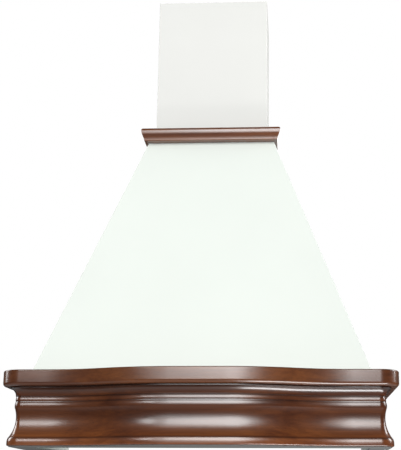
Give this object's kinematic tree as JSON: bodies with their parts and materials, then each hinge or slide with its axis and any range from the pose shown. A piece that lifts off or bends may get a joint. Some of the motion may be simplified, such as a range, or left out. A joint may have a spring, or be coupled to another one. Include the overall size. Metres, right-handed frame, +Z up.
{
  "type": "chimney range hood",
  "caption": "Wall chimney range hood: white pyramid body and flue, stained wooden bowed shelf, moulded valance and collar, blower, tilting grease filters, push buttons.",
  "frame": {"origin": "point on the wall plane, on the centre line, level with the hood's lowest edge", "axes": "+X to the viewer's right, +Y into the wall, +Z up; the front faces -Y"},
  "size_m": [0.9, 0.522, 1.22],
  "materials": {
    "stained_wood": "semi-gloss walnut stain under lacquer",
    "raw_wood": "sanded, unfinished",
    "white_body": "smooth white lacquer",
    "flue_paint": "smooth off-white lacquer",
    "grey_paint": "satin grey enamel",
    "galvanised": "galvanised sheet",
    "motor_steel": "black satin",
    "bright_steel": "zinc plated",
    "black_plastic": "moulded, matt",
    "grey_plastic": "moulded, matt",
    "bezel_plastic": "moulded, matt",
    "button_plastic": "moulded, gloss",
    "lamp_chrome": "polished",
    "lamp_glass": "frosted",
    "filter_aluminium": "bright mesh and rolled frame"
  },
  "bodies": {
    "hood": {"back_plate": "galvanised", "blower_hanger": "galvanised", "cable_gland": "black_plastic", "capacitor": "grey_plastic", "collar_screws": "bright_steel", "control_bezel": "bezel_plastic", "damper_pin": "bright_steel", "filter_panel": "grey_paint", "frame_screws": "bright_steel", "front_collar_rail": "stained_wood", "front_packer": "raw_wood", "front_panel": "white_body", "front_shelf_board": "stained_wood", "front_valance": "stained_wood", "left_collar_rail": "stained_wood", "left_lamp_can": "lamp_chrome", "left_lamp_lens": "lamp_glass", "left_packer": "raw_wood", "left_scroll_cheek": "galvanised", "left_shelf_board": "stained_wood", "left_side_panel": "white_body", "left_valance": "stained_wood", "lower_flue": "flue_paint", "mitre_dowels": "raw_wood", "motor": "motor_steel", "motor_bracket": "galvanised", "outlet_spigot": "galvanised", "panel_screws": "bright_steel", "right_collar_rail": "stained_wood", "right_lamp_can": "lamp_chrome", "right_lamp_lens": "lamp_glass", "right_packer": "raw_wood", "right_scroll_cheek": "galvanised", "right_shelf_board": "stained_wood", "right_side_panel": "white_body", "right_valance": "stained_wood", "scroll_wrap": "galvanised", "switch_body": "black_plastic", "terminal_box": "grey_plastic", "terminal_box_lid": "grey_plastic", "top_ring": "galvanised", "trim_screws": "bright_steel", "underside_trim": "grey_paint", "upper_flue_bracket": "galvanised"},
    "blower_wheel": {"impeller": "black_plastic", "motor_shaft": "bright_steel"},
    "left_filter": {"left_filter_frame": "filter_aluminium", "left_filter_mesh": "filter_aluminium"},
    "right_filter": {"right_filter_frame": "filter_aluminium", "right_filter_mesh": "filter_aluminium"},
    "off_key": {"off_button": "button_plastic"},
    "low_speed_key": {"low_speed_button": "button_plastic"},
    "medium_speed_key": {"medium_speed_button": "button_plastic"},
    "high_speed_key": {"high_speed_button": "button_plastic"},
    "light_key": {"light_button": "button_plastic"},
    "front_flap": {"front_damper_flap": "galvanised"},
    "rear_flap": {"rear_damper_flap": "galvanised"},
    "telescopic_flue": {"upper_flue": "flue_paint"}
  },
  "joints": [
    {"name": "wheel_spin", "type": "hinge", "parent": "hood", "child": "blower_wheel", "pos_m": [0, -0.155, 0.33], "axis": [1, 0, 0], "continuous": true},
    {"name": "left_filter_tilt", "type": "hinge", "parent": "hood", "child": "left_filter", "pos_m": [-0.193, -0.04, 0.036], "axis": [1, 0, 0], "range_deg": [0, 70]},
    {"name": "right_filter_tilt", "type": "hinge", "parent": "hood", "child": "right_filter", "pos_m": [0.193, -0.04, 0.036], "axis": [1, 0, 0], "range_deg": [0, 70]},
    {"name": "off_press", "type": "slide", "parent": "hood", "child": "off_key", "axis": [0, 0, 1], "range_m": [0, 0.003], "stiffness_N_per_m": 600},
    {"name": "low_speed_press", "type": "slide", "parent": "hood", "child": "low_speed_key", "axis": [0, 0, 1], "range_m": [0, 0.003], "stiffness_N_per_m": 600},
    {"name": "medium_speed_press", "type": "slide", "parent": "hood", "child": "medium_speed_key", "axis": [0, 0, 1], "range_m": [0, 0.003], "stiffness_N_per_m": 600},
    {"name": "high_speed_press", "type": "slide", "parent": "hood", "child": "high_speed_key", "axis": [0, 0, 1], "range_m": [0, 0.003], "stiffness_N_per_m": 600},
    {"name": "light_press", "type": "slide", "parent": "hood", "child": "light_key", "axis": [0, 0, 1], "range_m": [0, 0.003], "stiffness_N_per_m": 600},
    {"name": "front_flap_lift", "type": "hinge", "parent": "hood", "child": "front_flap", "pos_m": [0, -0.105, 0.5015], "axis": [-1, 0, 0], "range_deg": [0, 70]},
    {"name": "rear_flap_lift", "type": "hinge", "parent": "hood", "child": "rear_flap", "pos_m": [0, -0.105, 0.5015], "axis": [1, 0, 0], "range_deg": [0, 70]},
    {"name": "upper_flue_slide", "type": "slide", "parent": "hood", "child": "telescopic_flue", "axis": [0, 0, 1], "range_m": [0, 0.3]}
  ]
}
